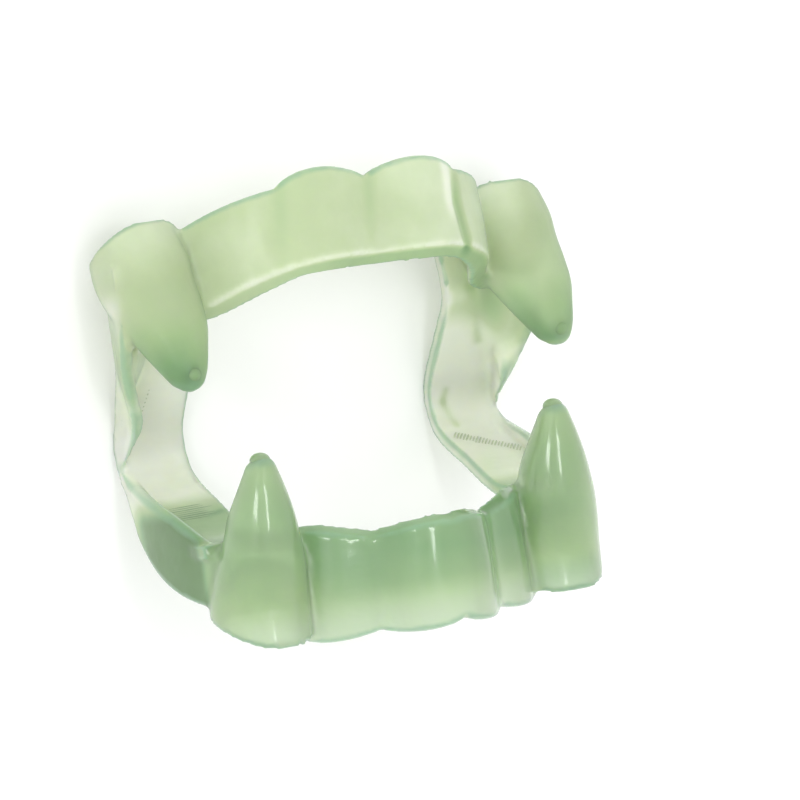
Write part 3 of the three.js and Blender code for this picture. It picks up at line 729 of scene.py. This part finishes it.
def glow_plastic():
    """Milky pale green plastic: pale where it is thin, greener where it is thick, glossy as moulded."""
    material = bpy.data.materials.new("glow_plastic")
    material.use_nodes = True
    tree = material.node_tree
    nodes = tree.nodes
    shader = nodes["Principled BSDF"]
    shader.inputs["IOR"].default_value = 1.48
    shader.inputs["Subsurface Weight"].default_value = 0.75
    shader.inputs["Subsurface Radius"].default_value = (0.9, 1.0, 0.6)
    shader.inputs["Subsurface Scale"].default_value = 0.0015
    shader.inputs["Transmission Weight"].default_value = 0.5
    shader.inputs["Coat Roughness"].default_value = 0.11
    shader.inputs["Coat IOR"].default_value = 1.55
    skin = nodes.new("ShaderNodeGroup")
    skin.node_tree = moulded_skin()
    place = nodes.new("ShaderNodeAttribute")
    place.attribute_name = "upright"
    link(tree, place.outputs["Vector"], skin.inputs["Place"])
    share = nodes.new("ShaderNodeAttribute")
    share.attribute_name = "green_share"
    cloudy = nodes.new("ShaderNodeMath")
    cloudy.operation = "ADD"
    link(tree, share.outputs["Fac"], cloudy.inputs[0])
    link(tree, spread(tree, skin.outputs["Clouds"], 0.3, 0.7, -0.04, 0.04), cloudy.inputs[1])
    tint = nodes.new("ShaderNodeValToRGB")
    ramp = tint.color_ramp
    ramp.elements[0].position, ramp.elements[0].color = TINTS[0]
    ramp.elements[1].position, ramp.elements[1].color = TINTS[-1]
    for at, colour in TINTS[1:-1]:
        ramp.elements.new(at).color = colour
    link(tree, cloudy.outputs[0], tint.inputs["Fac"])
    edge = nodes.new("ShaderNodeAttribute")
    edge.attribute_name = "edge_turn"
    rim = spread(tree, edge.outputs["Fac"], 0.03, 0.08, 0.0, 0.75)
    milky = nodes.new("ShaderNodeAttribute")
    milky.attribute_name = "milky_share"
    whole = blend(tree, spread(tree, milky.outputs["Fac"], 0, 1, 0, 0.7), tint.outputs["Color"], MILKY)
    slant = nodes.new("ShaderNodeLayerWeight")
    slant.inputs["Blend"].default_value = 0.5
    deep = blend(tree, spread(tree, slant.outputs["Facing"], 0.58, 0.96, 0.0, 0.5), whole, SLANTED)
    link(tree, blend(tree, rim, deep, TEAL_RIM), shader.inputs["Base Color"])
    split = nodes.new("ShaderNodeSeparateXYZ")
    link(tree, place.outputs["Vector"], split.inputs["Vector"])
    satin = spread(tree, split.outputs["Z"], -3.0, 3.0, 0.0, 1.0)
    rough = nodes.new("ShaderNodeMath")
    rough.operation = "ADD"
    link(tree, spread(tree, skin.outputs["Rub"], 0.3, 0.7, 0.28, 0.42), rough.inputs[0])
    link(tree, spread(tree, satin, 0, 1, 0.0, 0.14), rough.inputs[1])
    link(tree, rough.outputs[0], shader.inputs["Roughness"])
    gloss = nodes.new("ShaderNodeMath")
    gloss.operation = "MULTIPLY"
    link(tree, spread(tree, skin.outputs["Clouds"], 0.3, 0.7, 0.85, 0.6), gloss.inputs[0])
    link(tree, spread(tree, satin, 0, 1, 1.0, 0.12), gloss.inputs[1])
    link(tree, gloss.outputs[0], shader.inputs["Coat Weight"])
    bump = nodes.new("ShaderNodeBump")
    bump.inputs["Strength"].default_value = 0.12
    bump.inputs["Distance"].default_value = 0.0006
    link(tree, skin.outputs["Height"], bump.inputs["Height"])
    link(tree, bump.outputs["Normal"], shader.inputs["Normal"])
    return material


plastic = glow_plastic()
denture.data.materials.clear()
denture.data.materials.append(plastic)
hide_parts("fang_denture")
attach(denture, "root")


# Tool marks: the rows of fine ridges that the mould's cutter left on the bands

def tool_ridges():
    """A row of small lens-shaped ridges from a start to an end."""
    tree = bpy.data.node_groups.new("tool_ridges", "GeometryNodeTree")
    sockets = tree.interface
    sockets.new_socket("Geometry", in_out="OUTPUT", socket_type="NodeSocketGeometry")
    named = {}
    for name, kind in (("Start", "Vector"), ("End", "Vector"), ("Count", "Int"), ("Ridge", "Vector"),
                       ("Turn", "Vector"), ("Unevenness", "Float"), ("Seed", "Int"), ("Finish", "Material")):
        named[name] = sockets.new_socket(name, in_out="INPUT", socket_type="NodeSocket" + kind).identifier
    nodes = tree.nodes
    given, made = nodes.new("NodeGroupInput"), nodes.new("NodeGroupOutput")
    line = nodes.new("GeometryNodeMeshLine")
    line.mode = "END_POINTS"
    link(tree, given.outputs["Count"], line.inputs["Count"])
    link(tree, given.outputs["Start"], line.inputs["Start Location"])
    link(tree, given.outputs["End"], line.inputs["Offset"])
    ball = nodes.new("GeometryNodeMeshIcoSphere")
    ball.inputs["Radius"].default_value = 0.5
    ball.inputs["Subdivisions"].default_value = 2
    shape = nodes.new("GeometryNodeTransform")
    link(tree, ball.outputs["Mesh"], shape.inputs["Geometry"])
    link(tree, given.outputs["Ridge"], shape.inputs["Scale"])
    less = nodes.new("ShaderNodeMath")
    less.operation = "SUBTRACT"
    less.inputs[0].default_value = 1.0
    link(tree, given.outputs["Unevenness"], less.inputs[1])
    size = nodes.new("FunctionNodeRandomValue")
    size.data_type = "FLOAT"
    link(tree, less.outputs[0], size.inputs["Min"])
    size.inputs["Max"].default_value = 1.0
    link(tree, given.outputs["Seed"], size.inputs["Seed"])
    place = nodes.new("GeometryNodeInstanceOnPoints")
    link(tree, line.outputs["Mesh"], place.inputs["Points"])
    link(tree, shape.outputs["Geometry"], place.inputs["Instance"])
    link(tree, given.outputs["Turn"], place.inputs["Rotation"])
    link(tree, size.outputs["Value"], place.inputs["Scale"])
    whole = nodes.new("GeometryNodeRealizeInstances")
    link(tree, place.outputs["Instances"], whole.inputs["Geometry"])
    smooth = nodes.new("GeometryNodeSetShadeSmooth")
    link(tree, whole.outputs["Geometry"], smooth.inputs["Geometry"])
    finish = nodes.new("GeometryNodeSetMaterial")
    link(tree, smooth.outputs["Geometry"], finish.inputs["Geometry"])
    link(tree, given.outputs["Finish"], finish.inputs["Material"])
    link(tree, finish.outputs["Geometry"], made.inputs["Geometry"])
    return tree, named


def skin_tree():
    """The finished skin, upright and in millimetres, to find places on it."""
    upright = np.empty(len(denture.data.vertices) * 3, np.float32)
    denture.data.attributes["upright"].data.foreach_get("vector", upright)
    faces = [tuple(face.vertices) for face in denture.data.polygons]
    return BVHTree.FromPolygons([tuple(p) for p in upright.reshape(-1, 3)], faces)


def dress_evenly(mesh, points, green):
    """Gives a small piece its upright places and one green all over."""
    add_place(mesh, points)
    for name, value in (("green_share", green), ("edge_turn", 0.0), ("milky_share", 0.0)):
        add_values(mesh, name, np.full(len(points), value))


def ridge_row(name, tree, named, skin, ends, green, **values):
    """Lays a row of ridges on the skin, between the places on it that are nearest to the two ends, upright.
    The ridges lie across the row. Ridge is the size of one, in metres."""
    hits = [skin.find_nearest(Vector(end)) for end in ends]
    spots, facing = [hit[0] for hit in hits], (hits[0][1] + hits[1][1]).normalized()
    along = (spots[1] - spots[0]).normalized()
    across = facing.cross(along).normalized()
    turn = laid_down().to_3x3() @ Matrix((along, across, facing)).transposed()
    piece = bpy.data.objects.new(name, bpy.data.meshes.new(name))
    bpy.context.scene.collection.objects.link(piece)
    work = piece.modifiers.new("ridges", "NODES")
    work.node_group = tree
    values.update(Start=(laid_down() @ spots[0]) * MM, End=(laid_down() @ spots[1]) * MM,
                  Turn=Vector(turn.to_euler()), Finish=plastic)
    for key, value in values.items():
        work[named[key]] = tuple(value) if isinstance(value, Vector) else value
    settle(piece)
    home = laid_down().inverted()
    dress_evenly(piece.data, np.array([home @ (v.co / MM) for v in piece.data.vertices]), green)
    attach(piece, "root")


def tool_marks(skin):
    """The rows of ridges, each with its ends, its green and its numbers."""
    tree, named = tool_ridges()
    ridge_row("band_ridge", tree, named, skin, ((16.9, 15.7, -5.45), (22.5, 11.5, -7.94)), 0.2,
              Count=22, Ridge=(0.00024, 0.0015, 0.0001), Unevenness=0.35, Seed=3)
    ridge_row("leg_lines", tree, named, skin, ((-20.0, 12.0, -8.0), (-20.0, 10.0, -9.3)), 0.7,
              Count=8, Ridge=(0.00016, 0.0068, 0.00006), Unevenness=0.5, Seed=8)
    ridge_row("cheek_ridge", tree, named, skin, ((-20.8, 14.6, 5.0), (-23.4, 16.3, -0.86)), 0.12,
              Count=15, Ridge=(0.00022, 0.001, 0.0001), Unevenness=0.3, Seed=5)


skin = skin_tree()
tool_marks(skin)


def tip_nub(name, jaw, side, skin):
    """The small round nub left on a fang: on the front of an upper tip, on the end of a lower one."""
    middle_spot, slack = Vector(fang_at(jaw, side, 0)[:3]), jaw_slack(jaw["roll"])
    if jaw is UPPER:
        shape = UPPER_NUB
        middle_spot, facing, _, _ = skin.find_nearest(slack(*(middle_spot + Vector((0, -3.0, 1.3)))))
        way = Vector((0, facing.y, min(facing.z, -0.35))).normalized()
        slack = lambda *place: place
    else:
        shape = LOWER_NUB
        way = (middle_spot - Vector(fang_at(jaw, side, 0.12)[:3])).normalized()
    radius, sunk = shape["radius"], shape["sunk"]
    side_way = way.orthogonal().normalized()
    other_way = way.cross(side_way)
    turns = [i / NUB_SIDES * 2 * math.pi for i in range(NUB_SIDES)]
    rings = []
    for k in range(8):
        angle = math.radians(mix(86, 4, k / 7))
        out, rise = radius * math.sin(angle), NUB_HEIGHT * math.cos(angle)
        rings.append([middle_spot + way * (rise - sunk) + side_way * (out * math.cos(a))
                      + other_way * (out * math.sin(a)) for a in turns])
    low = [p - way * 0.5 for p in rings[0]]
    start, end = middle_spot - way * (sunk + 0.6), middle_spot + way * (NUB_HEIGHT - sunk)
    piece = ring_stack(name, [low] + rings, start, end, slack)
    mesh = piece.data
    dress_evenly(mesh, mesh_points(mesh), shape["green"])
    mesh.transform(Matrix.Scale(MM, 4) @ laid_down())
    mesh.shade_smooth()
    mesh.materials.append(plastic)
    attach(piece, "root")


for jaw, jaw_name in ((UPPER, "upper"), (LOWER, "lower")):
    for side, side_name in ((-1, "right"), (1, "left")):
        tip_nub(f"{jaw_name}_{side_name}_nub", jaw, side, skin)


# Floor and light

def floor():
    reach = 1.5
    mesh = bpy.data.meshes.new("floor")
    corners = [(-reach, -reach, 0), (reach, -reach, 0), (reach, reach, 0), (-reach, reach, 0)]
    mesh.from_pydata(corners, [], [(0, 1, 2, 3)])
    sheet = bpy.data.objects.new("floor", mesh)
    bpy.context.scene.collection.objects.link(sheet)
    paper = bpy.data.materials.new("floor_paper")
    paper.use_nodes = True
    shader = paper.node_tree.nodes["Principled BSDF"]
    shader.inputs["Base Color"].default_value = (0.96, 0.96, 0.96, 1)
    shader.inputs["Roughness"].default_value = 0.9
    mesh.materials.append(paper)


def softbox(name, direction, away, width, height, power):
    """A soft rectangular light that faces the denture. direction is in the camera's right, up and back."""
    right, up, back = camera_axes()
    turn = laid_down().to_3x3()
    way = (turn @ (right * direction[0] + up * direction[1] + back * direction[2])).normalized()
    data = bpy.data.lights.new(name, "AREA")
    data.shape = "RECTANGLE"
    data.size, data.size_y = width, height
    data.energy = power
    lamp = bpy.data.objects.new(name, data)
    lamp.location = way * away + Vector((0, 0, 0.015))
    lamp.rotation_euler = way.to_track_quat("Z", "Y").to_euler()
    bpy.context.scene.collection.objects.link(lamp)


floor()
softbox("left_window", (-0.33, 0.09, 0.93), 0.7, 0.08, 0.18, 0.48)
softbox("right_window", (0.36, 0.09, 0.92), 0.7, 0.08, 0.18, 0.48)
world = bpy.data.worlds.new("pale_room")
world.use_nodes = True
sky = world.node_tree.nodes["Background"]
sky.inputs["Color"].default_value = (1, 1, 1, 1)
sky.inputs["Strength"].default_value = 1.18
bpy.context.scene.world = world
bpy.context.scene.view_settings.view_transform = "Standard"
